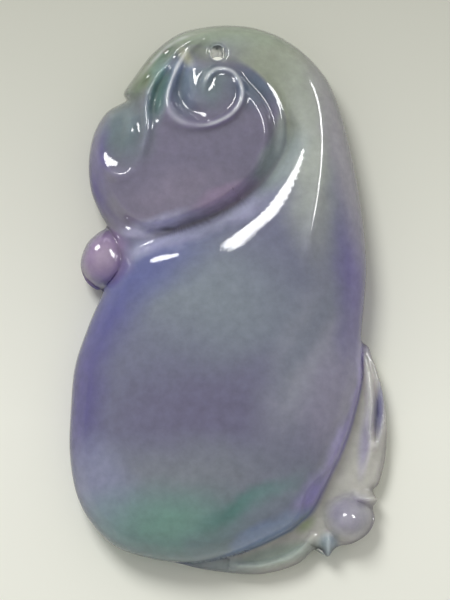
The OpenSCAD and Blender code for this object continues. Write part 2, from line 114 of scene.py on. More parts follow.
# Ruyi head: middle, foot and shoulder of its wall, the wall's share, and its reach by direction in degrees
HEAD_MID = (-4.2, 14.8)
HEAD_FOOT_Z = 5.0
HEAD_SHOULDER_Z = 7.9
HEAD_WALL = 0.24
HEAD_REACH = [
    (0, 9.7), (12, 10.4), (32, 10.7), (57, 10.6), (90, 10.8), (135, 11.2), (180, 11.2), (215, 10.9),
    (238, 11), (248, 9.7), (259, 8.5), (270, 7.8), (286, 7.4), (298, 7.3), (311, 7.4), (323, 7.7),
    (336, 8.3), (348, 9),
]
HEAD_REACH_BLUR = (-12, -6, 0, 6, 12)
HEAD_SINK = 1.6
SINK_Y = (24, 18)

# Carved lines. Columns: x, y, share of the line's full height, half width.
VALLEY = [
    (2.1, 23.5, 0, 0.5), (3.5, 22.4, 0.1, 0.5), (4.9, 20.5, 0.2, 0.5), (5.8, 18.1, 0.4, 0.6),
    (6.1, 16.6, 0.6, 0.8), (5.6, 14.6, 0.7, 0.8), (3.4, 11.4, 0.8, 0.9),
    (0.7, 9.2, 0.9, 1.2), (-2.2, 7.7, 1, 1.4), (-5.7, 6.5, 1.1, 1.2), (-8.6, 5.5, 1, 1.1),
    (-10.1, 4.4, 0.8, 1), (-11.1, 3.2, 0.4, 0.9), (-12.1, 1.4, 0.1, 0.7),
]
# The wider bank along the body's side of the valley, and the share of the depth that it takes
BANK = [
    (4.9, 20.5, 0.1, 1.2), (5.9, 18.1, 0.4, 1.4), (6.1, 16.6, 0.7, 1.6), (5.6, 14.6, 0.95, 2),
    (3.4, 11.4, 1.15, 2.7), (0.7, 9.2, 1.3, 3.5), (-1.5, 8, 1.4, 4.4), (-3.2, 7.5, 1.2, 4.8),
    (-4.8, 7, 0.8, 5), (-6.3, 6.4, 0.4, 5), (-7.8, 5.8, 0.1, 5), (-9, 5.4, 0, 5),
]
BANK_SHARE = 0.45
CROOK_RIDGE = [
    (7, 24.2, 0.1, 0.7), (7.7, 23.4, 0.3, 0.7), (8.3, 22.2, 0.4, 0.7), (8.9, 20.7, 0.4, 0.7),
    (9.2, 19.2, 0.4, 0.7), (9.3, 16.3, 0.4, 0.7), (9.1, 13.3, 0.5, 0.7), (8.6, 9.8, 0.6, 0.75),
    (8.1, 7.2, 0.7, 0.8), (7.7, 5, 0.6, 0.8), (7.4, 3.4, 0, 0.8),
]
OUTER_STEM_RIDGE = [
    (-1.9, 26.9, 0.3, 0.5), (-4, 26.4, 0.9, 0.5), (-5.4, 25.8, 1, 0.5), (-6.6, 24.9, 1, 0.5),
    (-7.7, 23.7, 1, 0.5), (-8.6, 22.4, 0.8, 0.5), (-9.5, 21.1, 0.4, 0.5),
]
INNER_STEM_RIDGE = [
    (0.3, 27.3, 0.1, 0.4), (-1.3, 27, 0.5, 0.4), (-2.8, 26.4, 0.8, 0.45), (-4, 25.8, 0.9, 0.45),
    (-5.1, 24.9, 1, 0.45), (-6, 23.7, 1, 0.45), (-6.9, 22.4, 1, 0.45), (-7.6, 21.4, 1, 0.45),
    (-8.1, 20.3, 0.9, 0.45), (-8.2, 19, 0.9, 0.45), (-8.1, 17.7, 0.8, 0.45), (-8.4, 15.6, 0.6, 0.45),
    (-9.1, 13.8, 0.2, 0.5),
]
CLEFT = [
    (-4.1, 25.2, 0.1, 0.5), (-5.3, 24.1, 0.4, 0.6), (-6.3, 22.8, 0.7, 0.7), (-6.9, 21.6, 0.8, 0.8),
    (-7.2, 20.3, 0.8, 0.8), (-7.4, 19.2, 0.6, 0.7), (-7.5, 18.3, 0.2, 0.6), (-7.5, 17.7, 0, 0.6),
]
RIGHT_LIP = [
    (-1.5, 26.2, 0.2, 0.4), (-2.8, 25.8, 0.4, 0.4), (-3.8, 25.2, 0.6, 0.4), (-4.5, 24.4, 0.8, 0.4),
    (-5, 23.5, 0.9, 0.4), (-5.4, 22.5, 0.9, 0.4), (-5.8, 21.4, 0.9, 0.4), (-6.1, 20.3, 0.9, 0.5),
    (-6, 19.3, 0.8, 0.7), (-5.6, 18.4, 0.8, 0.8), (-4.8, 17.7, 0.8, 0.7), (-3.5, 17.3, 0.7, 0.5),
    (-2.2, 17.3, 0.8, 0.4), (-1, 17.7, 0.9, 0.4), (0.2, 18.4, 0.9, 0.4), (1, 19.4, 0.9, 0.4),
    (1.3, 20.6, 0.9, 0.4), (1.1, 21.7, 0.9, 0.4), (0.5, 22.6, 0.9, 0.4), (-0.3, 23, 0.9, 0.4),
    (-1.2, 23, 0.9, 0.4), (-1.9, 22.5, 0.9, 0.4), (-2.3, 21.9, 0.9, 0.4), (-2.5, 21.2, 0.5, 0.4),
    (-2.5, 20.5, 0, 0.4),
]
RIGHT_SCOOP = [
    (-4.2, 23.8, 0.3, 0.6), (-4.7, 22.4, 0.7, 0.8), (-4.9, 20.8, 1, 0.9), (-4.5, 19.4, 0.9, 0.8),
    (-3.4, 18.7, 0.4, 0.7), (-2.4, 18.8, 0.1, 0.6),
]
LEFT_LIP = [
    (-12.7, 17, 0.1, 0.5), (-12.9, 15.6, 0.3, 0.5), (-12.8, 14.3, 0.5, 0.5), (-12.3, 13.1, 0.6, 0.5),
    (-11.4, 12.4, 0.6, 0.5), (-10.4, 12.3, 0.4, 0.5), (-9.5, 12.8, 0.1, 0.5),
]
LEFT_SCOOP = [
    (-9.6, 19, 0.2, 0.7), (-10.2, 18.2, 0.3, 0.8), (-10.9, 16.8, 0.4, 1), (-11.3, 15.2, 0.4, 1),
    (-10.9, 13.9, 0.3, 0.8), (-10, 13.9, 0.1, 0.7),
]
LEFT_KNOB = [(-9.9, 18, 0.5, 0.6), (-9.7, 16.7, 0.5, 0.6)]
RIGHT_KNOB = [(-2.2, 21, 0.4, 1.1), (-2, 20.4, 0.4, 1.1)]
OUTER_WING_CREST = [
    (13.9, -5.2, 0.4, 0.3), (14.6, -7, 0.8, 0.3), (15.2, -9.4, 1, 0.3), (15.4, -11.4, 1, 0.3),
    (15.1, -13.2, 0.9, 0.3), (14.6, -14.8, 0.5, 0.3),
]
INNER_WING_CREST = [
    (13.5, -5.8, 0.4, 0.3), (13.9, -8.2, 0.8, 0.35), (14.1, -10.7, 1, 0.35), (14, -12.7, 1, 0.35),
    (14.1, -14.7, 0.8, 0.35), (13.7, -16.4, 0.4, 0.4), (13.1, -17.8, 0.2, 0.4),
]
WING_HOLLOW = [
    (14.5, -8.6, 0.4, 0.3), (14.8, -10.6, 1, 0.4), (14.6, -12.6, 1, 0.4), (14.4, -14.2, 0.4, 0.3),
]
LOW_WING_CREST = [
    (8.3, -23.8, 0.4, 0.4), (7.5, -24.8, 0.6, 0.4), (6.3, -25.7, 0.7, 0.4), (4.7, -26.3, 0.7, 0.35),
    (2.9, -26.7, 0.6, 0.3), (1.1, -26.7, 0.6, 0.3),
]
RIGHT_EAR = [(12.8, -19.9, 1, 0.5), (13.7, -20, 1, 0.45), (14.7, -20, 0.7, 0.35)]
LOW_EAR = [(9.8, -23.8, 1, 0.5), (9.8, -24.7, 1, 0.45), (9.8, -25.6, 0.7, 0.35)]
# The step along the lower right edge of the body, from its upper end down
LEDGE = [
    (14.2, 0), (13.3, -5.4), (13.1, -7.7), (12.5, -10.7), (11.4, -14.2), (10.1, -16.8), (8.2, -18.5),
    (7.3, -20.1), (7, -21.8),
]
LEDGE_RUN = 0.35

BAT_HEAD_MID = (11.8, -22)
BAT_HEAD_H = 2.6
BUD_MID = (-12.4, 4.1)
BUD_HALF = (3.3, 2.6)
BUD_TURN = math.radians(20)
BUD_FOOT_Z = 2.2
THIN_ROLL = 0.9
FILLET = 1.0
SMALL_FILLET = 0.2
# Shares for the colours: how far out from the body's edge the bat takes on its own, how wide the shade
# painted at the outline is, and over which share of its reach the head takes on its own
PLATE_FADE = 0.25
EDGE_FADE = 0.3
HEAD_FADE = 0.04
# Powers of a carved line's share that leave only its crest under the painted highlight, and how strong the
# painted highlight on the stem's ridge is beside the lip
LIP_POWER = 6
STEM_POWER = 8
STEM_GLINT_SHARE = 0.5

# Grid of the front: its middle, the rings from there to the outline, which of them is the body's own edge,
# and the share of a spoke that the rings beyond it take where nothing lies there
GRID_MID = (-2.5, 14.5)
RINGS = 138
EDGE_RING = 119
STRIP_SHARE = 0.07
# How the rings crowd towards the body's edge and the outline, and the points for each row of the outline and
# of a carved line
BODY_CROWDING = 1.2
STRIP_CROWDING = 1.6
OUTLINE_STEPS = 24
LINE_STEPS = 6
# The bat and the bud are worked out beyond this share of the reach. Strips narrower than NARROW have no
# height of their own, and points nearer than TOUCH lie on the edge.
THIN_FROM = 0.5
NARROW = 0.05
TOUCH = 0.001
# Rows of the side under the rim, and how far it turns in
UNDER_ROWS = 9
UNDER_IN = 1.8
# The carving leans towards the lower end: each point lies lower by this share of its height over the rim
LEAN = 0.14
# Flat sides of the drill that cuts the cord hole
BORE_SIDES = 96
# Edges that turn by more degrees than this are shown sharp
SHARP_ANGLE = 75

# Colour clouds of the jade. Columns: name, middle x and y, half width, half height, turn in degrees,
# softness, colour, strength. Lengths are in mm. Later rows lie over earlier ones.
JADE_CLOUDS = [
    ("upper body, grey teal", -2.5, -0.5, 9, 5, -20, 0.9, "#88929b", 0.9),
    ("purple middle", -2, -12, 9, 4, 5, 0.9, "#706b88", 0.7),
    ("dark band", 7.4, -7, 2.4, 7, -20, 0.8, "#9da1ab", 0.8),
    ("dark diagonal", 7.6, -4.6, 1.2, 5.5, -31, 0.8, "#6f7688", 0.6),
    ("grey under the middle", -4, -18.5, 9, 2.6, 0, 0.9, "#848a93", 0.9),
    ("pale right flank", 10.5, -10.5, 3, 6, -12, 0.8, "#9794a8", 0.9),
    ("violet left edge", -15.2, -8, 2.6, 11, -3, 0.8, "#615c90", 1),
    ("violet left shoulder", -12.6, -1.6, 3, 4.4, -30, 0.8, "#5c5b98", 0.9),
    ("pale left foot", -12.6, -19.6, 2.6, 4.6, 20, 0.8, "#8e92ac", 0.9),
    ("violet right edge", 13.4, 0, 2.2, 8, 4, 0.8, "#776fa4", 0.95),
    ("blue under the head", -8.5, 2.2, 5, 2.4, 25, 0.9, "#646aa0", 0.8),
    ("green patch", -6, -23, 6.4, 2.8, 2, 0.9, "#789e94", 1),
    ("green streak", 1.7, -21.1, 4.2, 0.9, 30, 0.8, "#58847f", 1),
    ("green field", 4.6, -20.6, 3.6, 1.8, 35, 0.8, "#8ea0a8", 0.4),
    ("pale lower rim", 4, -23.9, 6, 0.9, 27, 0.6, "#8296b8", 0.8),
    ("crook", 5.6, 21, 5, 8, 20, 0.5, "#9aa191", 1),
    ("crook down the side", 7.6, 13.6, 2, 8, 4, 0.8, "#b0b6ae", 0.9),
    ("outer crook", 11.2, 14, 1.5, 9, 14, 0.8, "#a5a2ac", 0.85),
    ("root of the stem", -4.4, 25, 3.4, 1.8, 25, 0.6, "#8a9781", 0.9),
    ("crown of the crook", 0.5, 26.6, 6, 1.5, -6, 0.7, "#97a391", 1),
    # The three valley rows are paler than the stone beside them: painted light that lifts the shade in the
    # valley.
    ("valley, left", -6.4, 5.4, 4, 1, 14, 0.7, "#b2b3d0", 0.9),
    ("valley, middle", 0.6, 8, 4, 1.1, 30, 0.7, "#b2b4cc", 0.9),
    ("valley, right", 5.4, 12.8, 3, 1.1, 58, 0.7, "#a9b3b4", 0.9),
    ("bud", -12.6, 4, 2.4, 3, -20, 0.5, "#8d78a0", 1),
    ("heart of the bud", -12.4, 3.8, 1.3, 1.8, -20, 0.9, "#aa9cae", 0.9),
    ("ledge, upper", 12.9, -9.2, 0.5, 5, -8, 0.8, "#a49dcc", 0.9),
    ("ledge, middle", 10.8, -15.6, 0.8, 4, -27, 0.7, "#a59ecc", 0.9),
    ("ledge, lower", 8, -20, 1.1, 2, -35, 0.7, "#9d96ca", 0.9),
]
# Clouds of the ruyi head, laid only where the head share says so. Columns as above.
HEAD_CLOUDS = [
    ("ruyi head", -4, 14, 13, 12, 0, 0.2, "#7d798e", 1),
    ("head, lower part", -5, 9.5, 5, 2, 15, 0.8, "#8f889b", 0.8),
    ("head, right shoulder", 3, 20.6, 2.2, 2.2, 10, 0.8, "#606e80", 0.95),
    ("head, right edge", 5.6, 16.6, 1, 4, -6, 0.7, "#929a94", 0.9),
    # The three wall rows are paler than the head: painted light that lifts the shade on the steep wall under
    # the head.
    ("grey wall, right", 4.4, 13.4, 2.8, 0.9, 55, 0.7, "#8f999c", 0.9),
    ("reddish wall", -0.4, 9.3, 3.4, 0.7, 28, 0.7, "#9a8aa4", 0.9),
    ("blue wall, left", -7, 6.6, 3.4, 0.8, 14, 0.7, "#adadc8", 0.9),
    ("top of the head, olive", 0, 25, 5.4, 1.9, -4, 0.6, "#8b9484", 0.95),
    ("stem", -7.8, 22.8, 1.6, 5, -42, 0.6, "#707e66", 1),
    ("cleft", -7, 20.5, 1, 3.4, -12, 0.7, "#74938e", 0.9),
    ("right scoop", -4.6, 20.8, 1.5, 2.6, 0, 0.8, "#8594a4", 0.9),
    ("volute knob", -1.6, 20.6, 2, 1.9, 0, 0.7, "#76868a", 0.9),
    ("left volute", -10.4, 16.4, 2.2, 3.2, 0, 0.7, "#6e7f83", 0.9),
    ("left edge of the head", -13.6, 12.2, 1.4, 5, -6, 0.7, "#645c92", 0.95),
]
# Clouds of the thin bat, laid only where the plate share says so. Columns as above.
BAT_CLOUDS = [
    ("clear grey plate", 8, -17, 13, 13, 0, 0.2, "#d0cfc7", 1),
    ("wing, pale", 14.2, -9.5, 1, 4, -4, 0.8, "#dddcd6", 0.9),
    ("violet streak down the plate", 13.4, -14.6, 0.5, 2.6, -6, 0.8, "#b9b5cc", 0.8),
    ("blue hollow of the wing", 15, -10.9, 0.4, 2.6, -4, 0.8, "#8d90b2", 0.9),
    ("bat's head", 12, -21.8, 2.2, 2.2, 0, 0.4, "#a6a4b2", 0.9),
    ("lower ear", 9.8, -24.8, 1, 1.2, 0, 0.5, "#a4b6c0", 0.9),
    ("yellow-green by the ear", 7.6, -22.6, 0.9, 0.5, 40, 0.9, "#b9c7a0", 0.8),
    ("lower wing", 4.4, -25.8, 4.6, 1, 14, 0.5, "#a9b7ac", 0.9),
    ("left end of the lower wing", -1, -26.8, 3, 0.8, 0, 0.6, "#a8b4b2", 0.9),
]
# Small brown and yellowish specks near the surface. Columns as above.
JADE_SPECKS = [
    ("brown speck of the stem", -6.4, 24.4, 0.35, 0.3, 30, 0.8, "#544a3c", 0.8),
    ("small speck of the stem", -7.9, 23.1, 0.22, 0.18, 0, 0.9, "#5c513f", 0.8),
    ("specks of the valley", -6.2, 6.4, 0.7, 0.16, 5, 0.9, "#4c4a5c", 0.7),
    ("yellowish rough patch", -4.3, 23.6, 0.5, 0.9, 30, 0.8, "#cfd0ae", 0.55),
]

# Jade: its ground colour, how far its clouds drift and how deep they reach in mm, the colour of the shade
# painted at the outline and of the highlight painted along the lip, where the bat begins, how clear it is,
# and how deep the waves of hand grinding are
JADE_GROUND = "#777a90"
CLOUD_DRIFT = (3, 3, 0)
CLOUD_DEPTH = 1e4
OUTLINE_SHADE_COLOUR = "#9a98a0"
LIP_GLINT_COLOUR = "#dfe4e6"
BAT_FROM_X = -6.0
BAT_CLEAR = 0.15
GROUND_WAVES = 0.02 * MM
# Patterns: the width in mm of the swells by which the clouds drift, and of the grain. Jadeite's own grains
# are 0.1 to 1 mm wide, which is too fine to show here, so the grain is drawn as coarse as it needs to be.
DRIFT_WIDTH = 6.25
GRAIN_WIDTH = 10 / 9

# Floor: its height, half its width in m, and its y and colour on the near and on the far side. The change
# from the paler near side to the darker, greyer far side is painted light and shade.
FLOOR_Z = -0.03 * MM
FLOOR_HALF = 1.5
FLOOR_NEAR = (-12 * MM, "#f2f3e8")
FLOOR_FAR = (32 * MM, "#c4c5b9")
SKY_COLOUR = (1, 0.99, 0.97, 1)
SKY_STRENGTH = 0.5
# Lamps. Columns: name, direction seen from above in degrees from the right, height in degrees, distance
# in m, width and length in m, spin of its width in degrees, power in W, whether it lights the ground and the
# stone, whether it is mirrored in the polish.
LAMPS = [
    ("window", 126, 34, 0.6, 0.34, 0.19, -12, 2.25, False, True),
    ("side_lamp", 34, 35, 0.6, 0.35, 0.165, 0, 2.1, False, True),
    ("overhead", 122, 55, 0.6, 0.24, 0.24, 0, 1.9, True, False),
]
# The pencil of light down the hole: distance in m, power in W, width in degrees
PENCIL_FAR = 0.1
PENCIL_POWER = 0.5
PENCIL_WIDTH = 1

# The photograph's frame in pixels, its scale and the point of the rim's plane in its middle, in mm
PICTURE_SIZE = (450, 600)
PIXELS_PER_MM = 10.05
PICTURE_MID = (-0.4, -0.15)
# Camera: distance in m, height in degrees, and the height of its sensor in mm
CAMERA_FAR = 0.6
CAMERA_HEIGHT = 82.0
SENSOR = 36.0


def ramp(v, start, end):
    """0 up to start and 1 from end on, with 3t² - 2t³ between, t being the share of the way."""
    t = np.clip((v - start) / (end - start), 0, 1)
    return t * t * (3 - 2 * t)


def soft_max(a, b, fillet):
    """The greater of two heights. Where they differ by less than the fillet, a parabola joins them."""
    h = np.clip(0.5 + 0.5 * (a - b) / fillet, 0, 1)
    return b + (a - b) * h + fillet * h * (1 - h)


def quarter(t):
    """Height of a quarter circle of radius 1 at distance t from its middle."""
    return np.sqrt(np.clip(1 - t * t, 0, None))


def smooth_line(rows, closed, steps):
    """Points of a smooth curve through the rows. Each stretch is a cubic whose slope at a row is half the
    way from the row before it to the row after it."""
    rows = np.array(rows, float)
    count = len(rows)
    if closed:
        at = np.arange(count * steps) / steps
        first = at.astype(int)
        pick = [rows[(first + k) % count] for k in (-1, 0, 1, 2)]
    else:
        at = np.arange((count - 1) * steps + 1) / steps
        first = np.minimum(at.astype(int), count - 2)
        pick = [rows[np.clip(first + k, 0, count - 1)] for k in (-1, 0, 1, 2)]
    f = (at - first)[:, None]
    a, b, c, d = pick
    return 0.5 * (
        2 * b + (c - a) * f + (2 * a - 5 * b + 4 * c - d) * f ** 2 + (3 * b - a - 3 * c + d) * f ** 3)


def near(x, y, a, b):
    """Share of the stretch from a to b that lies nearest to each point, and the squared distance to it."""
    dx, dy = b[0] - a[0], b[1] - a[1]
    t = np.clip(((x - a[0]) * dx + (y - a[1]) * dy) / (dx * dx + dy * dy + 1e-12), 0, 1)
    return t, (x - a[0] - t * dx) ** 2 + (y - a[1] - t * dy) ** 2


def carved(x, y, rows):
    """Height that a carved line adds: its share at the nearest place of the smooth curve, times
    exp(-(distance / half width)²). Where several stretches are near, the greatest counts."""
    line = smooth_line(rows, False, LINE_STEPS)
    reach = 3 * line[:, 3].max()
    low, high = line[:, :2].min(0) - reach, line[:, :2].max(0) + reach
    inside = (x > low[0]) & (x < high[0]) & (y > low[1]) & (y < high[1])
    px, py = x[inside], y[inside]
    best = np.zeros(px.shape)
    for a, b in zip(line[:-1], line[1:]):
        t, far = near(px, py, a, b)
        share, half = a[2] + t * (b[2] - a[2]), a[3] + t * (b[3] - a[3])
        np.maximum(best, share * np.exp(-far / half ** 2), out=best)
    out = np.zeros(x.shape)
    out[inside] = best
    return out


def gap_to(x, y, line):
    """Distance from each point to a closed line of points."""
    best = np.full(x.shape, np.inf)
    for a, b in zip(line, np.roll(line, -1, 0)):
        np.minimum(best, near(x, y, a, b)[1], out=best)
    return np.sqrt(best)


def side_of(x, y, rows):
    """Signed distance to a smooth open line: positive on the left of its way."""
    line = smooth_line(rows, False, LINE_STEPS)
    best = np.full(x.shape, np.inf)
    side = np.zeros(x.shape)
    for a, b in zip(line[:-1], line[1:]):
        far = near(x, y, a, b)[1]
        closer = far < best
        best = np.where(closer, far, best)
        turn = (b[0] - a[0]) * (y - a[1]) - (b[1] - a[1]) * (x - a[0])
        side = np.where(closer, np.sign(turn), side)
    return side * np.sqrt(best)


def body_crown(x, y):
    """A cushion as high as the stone is deep, which falls away with the square of the distance along and
    across, minus the valley beside the head, plus the ridge along the crook."""
    fall = CROWN_FALL_Y * (y - CROWN_Y) ** 2 + CROWN_FALL_X * x ** 2
    valley = (1 - BANK_SHARE) * carved(x, y, VALLEY) + BANK_SHARE * carved(x, y, BANK)
    return STONE_DEPTH - fall - VALLEY_DEPTH * valley + RIDGE_H * carved(x, y, CROOK_RIDGE)


def head_out(x, y):
    """Distance from the head's middle over its reach in that direction, which is the mean of five readings
    of the table a few degrees apart. 1 at its foot and beyond."""
    table = np.array([(turn + lap, reach) for lap in (-360, 0, 360) for turn, reach in HEAD_REACH])
    dx, dy = x - HEAD_MID[0], y - HEAD_MID[1]
    turn = np.degrees(np.arctan2(dy, dx))
    readings = [np.interp(turn + blur, table[:, 0], table[:, 1]) for blur in HEAD_REACH_BLUR]
    return np.minimum(1, np.hypot(dx, dy) / (sum(readings) / len(readings)))


def carved_crown(x, y):
    """Soft maximum of the body, which dips away under the head, and of the head's cushion: a smooth step
    up its wall and a parabola over its top. To it are added the lips, knobs and ridges, and from it are
    taken the scoops, the cleft, the ledge and the dish."""
    out = head_out(x, y)
    sink = HEAD_SINK * ramp(1 - out, 0, HEAD_WALL) * ramp(y, *SINK_Y)
    head = HEAD_FOOT_Z + (HEAD_SHOULDER_Z - HEAD_FOOT_Z) * ramp(1 - out, 0, HEAD_WALL)
    head = head + (HEAD_Z - HEAD_SHOULDER_Z) * (1 - out ** 2)
    z = soft_max(body_crown(x, y) - sink, head, FILLET)
    z = z + LIP_H * (carved(x, y, RIGHT_LIP) + carved(x, y, LEFT_LIP))
    z = z - SCOOP_DEPTH * (carved(x, y, RIGHT_SCOOP) + carved(x, y, LEFT_SCOOP))
    z = z + SCOOP_DEPTH / 2 * (carved(x, y, LEFT_KNOB) + carved(x, y, RIGHT_KNOB))
    z = z + RIDGE_H * (carved(x, y, INNER_STEM_RIDGE) + carved(x, y, OUTER_STEM_RIDGE))
    z = z - CLEFT_DEPTH * carved(x, y, CLEFT)
    z = z - LEDGE_H * ramp(side_of(x, y, LEDGE), -LEDGE_RUN / 2, LEDGE_RUN)
    dish_y = HOLE_MID[1] + LEAN * (HOLE_FRONT_Z - RIM_Z)
    return z - DISH_DEPTH * ramp(np.hypot(x - HOLE_MID[0], y - dish_y), DISH_W / 2, HOLE_D / 2)


def body_height(x, y, gap):
    """The carved crown, brought down to the rim at the body's edge: its height over the rim times
    (1 - in^2.6)^(1/2.1), where in is 1 at the edge and 0 from 12.5 mm inside it, or less in the upper
    part."""
    inward = np.clip(1 - gap / np.interp(y, *zip(*ROLL_IN)), 0, 1)
    return RIM_Z + (carved_crown(x, y) - RIM_Z) * (1 - inward ** SIDE_FULL) ** (1 / SIDE_ROOT)


def bat_height(x, y):
    """A thin plate, plus the crests and minus the hollow of its wings, plus its two ears, and a parabola
    turned round an upright axis for its head."""
    plate = PLATE_Z + WING_H * (
        carved(x, y, OUTER_WING_CREST) + carved(x, y, INNER_WING_CREST) + carved(x, y, LOW_WING_CREST)
        - carved(x, y, WING_HOLLOW))
    plate = plate + EAR_H * (carved(x, y, RIGHT_EAR) + carved(x, y, LOW_EAR))
    off = np.hypot(x - BAT_HEAD_MID[0], y - BAT_HEAD_MID[1]) / (BAT_HEAD_D / 2)
    return soft_max(plate, PLATE_Z + BAT_HEAD_H * (1 - off ** 2), SMALL_FILLET)


def bud_height(x, y):
    """The upper half of an egg: its foot plus its height times the root of 1 - along² - across²."""
    dx, dy = x - BUD_MID[0], y - BUD_MID[1]
    along = (dy * math.cos(BUD_TURN) - dx * math.sin(BUD_TURN)) / BUD_HALF[0]
    across = (dx * math.cos(BUD_TURN) + dy * math.sin(BUD_TURN)) / BUD_HALF[1]
    return BUD_FOOT_Z + BUD_H * np.sqrt(np.clip(1 - along ** 2 - across ** 2, 0, None))


def reach_by_turn(line):
    """Directions from the grid's middle to the points of a closed line, in rising order over three turns,
    with the distance to each."""
    dx, dy = line[:, 0] - GRID_MID[0], line[:, 1] - GRID_MID[1]
    turn, reach = np.arctan2(dy, dx), np.hypot(dx, dy)
    order = np.argsort(turn)
    laps = np.concatenate([turn[order] + lap for lap in (-2 * np.pi, 0, 2 * np.pi)])
    return laps, np.tile(reach[order], 3)


def square_on_disc(rings):
    """Square grid of points laid on a disc, as (ring, turn). The ring is the greater of the two distances
    from the middle. The turn runs evenly round each square, from the right, in whole turns."""
    v, u = np.mgrid[-rings:rings + 1, -rings:rings + 1].astype(float)
    ring = np.maximum(abs(u), abs(v))
    safe = np.maximum(ring, 1)
    turn = np.select(
        [(u == ring) & (v < ring), (v == ring) & (u > -ring), (u == -ring) & (v > -ring)],
        [v / safe / 8, 1 / 4 - u / safe / 8, 1 / 2 - v / safe / 8],
        3 / 4 + u / safe / 8)
    return ring, turn


def front_surface():
    """Front of the stone over the square grid. Spokes run from the middle to the body's own edge, which is
    drawn in where the outline is too near to it. Strips run from there across the bat and the bud to the
    outline. Returns square arrays: x, y and z, and x and y of the ends of the spokes. Then come the shares
    that the colours use: plate is 1 on the bat and the bud and 0 on the body, edge is
    exp(-distance to the outline / EDGE_FADE) and places the painted shade at the outline, head is 1 on the
    ruyi head, and lip is the greater of the right lip's share to the power LIP_POWER and STEM_GLINT_SHARE
    times the stem ridge's to STEM_POWER; it places the highlight painted along these crests."""
    outline = smooth_line([row if len(row) > 3 else row + row[:2] for row in OUTLINE], True,
                          OUTLINE_STEPS)
    body_edge = outline[::2, 3:]
    closed = np.vstack([outline, outline[:1]])
    run = np.concatenate([[0], np.cumsum(np.hypot(*np.diff(closed[:, :2], axis=0).T))])
    ring, turn = square_on_disc(RINGS)
    place = (1 / 4 - turn) % 1 * run[-1]
    edge_x, edge_y, rim, own_x, own_y = (np.interp(place, run, column) for column in closed.T)
    wide = np.hypot(edge_x - own_x, edge_y - own_y)
    strip = STRIP_SHARE * np.hypot(edge_x - GRID_MID[0], edge_y - GRID_MID[1])
    drawn = 1 - STRIP_SHARE * (1 - wide / strip).clip(0, 1)
    end_x = GRID_MID[0] + drawn * (own_x - GRID_MID[0])
    end_y = GRID_MID[1] + drawn * (own_y - GRID_MID[1])
    over = 1 - (1 - np.clip((ring - EDGE_RING) / (RINGS - EDGE_RING), 0, 1)) ** STRIP_CROWDING
    within = 1 - (1 - np.minimum(ring / EDGE_RING, 1)) ** BODY_CROWDING
    x = GRID_MID[0] + within * (end_x - GRID_MID[0]) + over * (edge_x - end_x)
    y = GRID_MID[1] + within * (end_y - GRID_MID[1]) + over * (edge_y - end_y)
    away = np.hypot(x - GRID_MID[0], y - GRID_MID[1])
    reach = np.interp(np.arctan2(y - GRID_MID[1], x - GRID_MID[0]), *reach_by_turn(body_edge))
    gap = gap_to(x, y, body_edge)
    inside = away <= reach + TOUCH
    body = np.where(inside, body_height(x, y, gap), 0)
    plate = np.where(inside, 0, np.clip(gap / PLATE_FADE, 0, 1))
    body[np.hypot(x - own_x, y - own_y) < TOUCH] = RIM_Z
    thin = away > THIN_FROM * reach
    z = np.maximum(rim, body)
    tx, ty, trim = x[thin], y[thin], rim[thin]
    full = np.maximum(trim, np.where(tx > 0, bat_height(tx, ty), bud_height(tx, ty)))
    out_gap = gap_to(tx, ty, outline[:, :2])
    # The edge share places the shade painted at the outline
    edge = np.zeros(x.shape)
    edge[thin] = np.exp(-out_gap / EDGE_FADE)
    outer = trim + (full - trim) * quarter(1 - np.clip(out_gap / THIN_ROLL, 0, 1))
    outer = np.where(wide[thin] < NARROW, 0, outer)
    z[thin] = np.maximum(trim, soft_max(body[thin], outer, SMALL_FILLET))
    z[ring == RINGS] = rim[ring == RINGS]
    # The lip share places a highlight painted along the crests of the right lip and of the outer stem ridge
    stem = STEM_GLINT_SHARE * carved(x, y, OUTER_STEM_RIDGE) ** STEM_POWER
    lip = np.maximum(carved(x, y, RIGHT_LIP) ** LIP_POWER, stem)
    head = np.clip((1 - head_out(x, y)) / HEAD_FADE, 0, 1)
    return x, y, z, end_x, end_y, {"plate": plate, "edge": edge, "head": head, "lip": lip}


def outline_loop(count):
    """Places in the square grid of its outermost points, anticlockwise, as flat indices."""
    last = count - 1
    k = np.arange(last)
    rows = np.concatenate([k, np.full(last, last), last - k, np.zeros(last, int)])
    columns = np.concatenate([np.full(last, last), last - k, np.zeros(last, int), k])
    return rows * count + columns


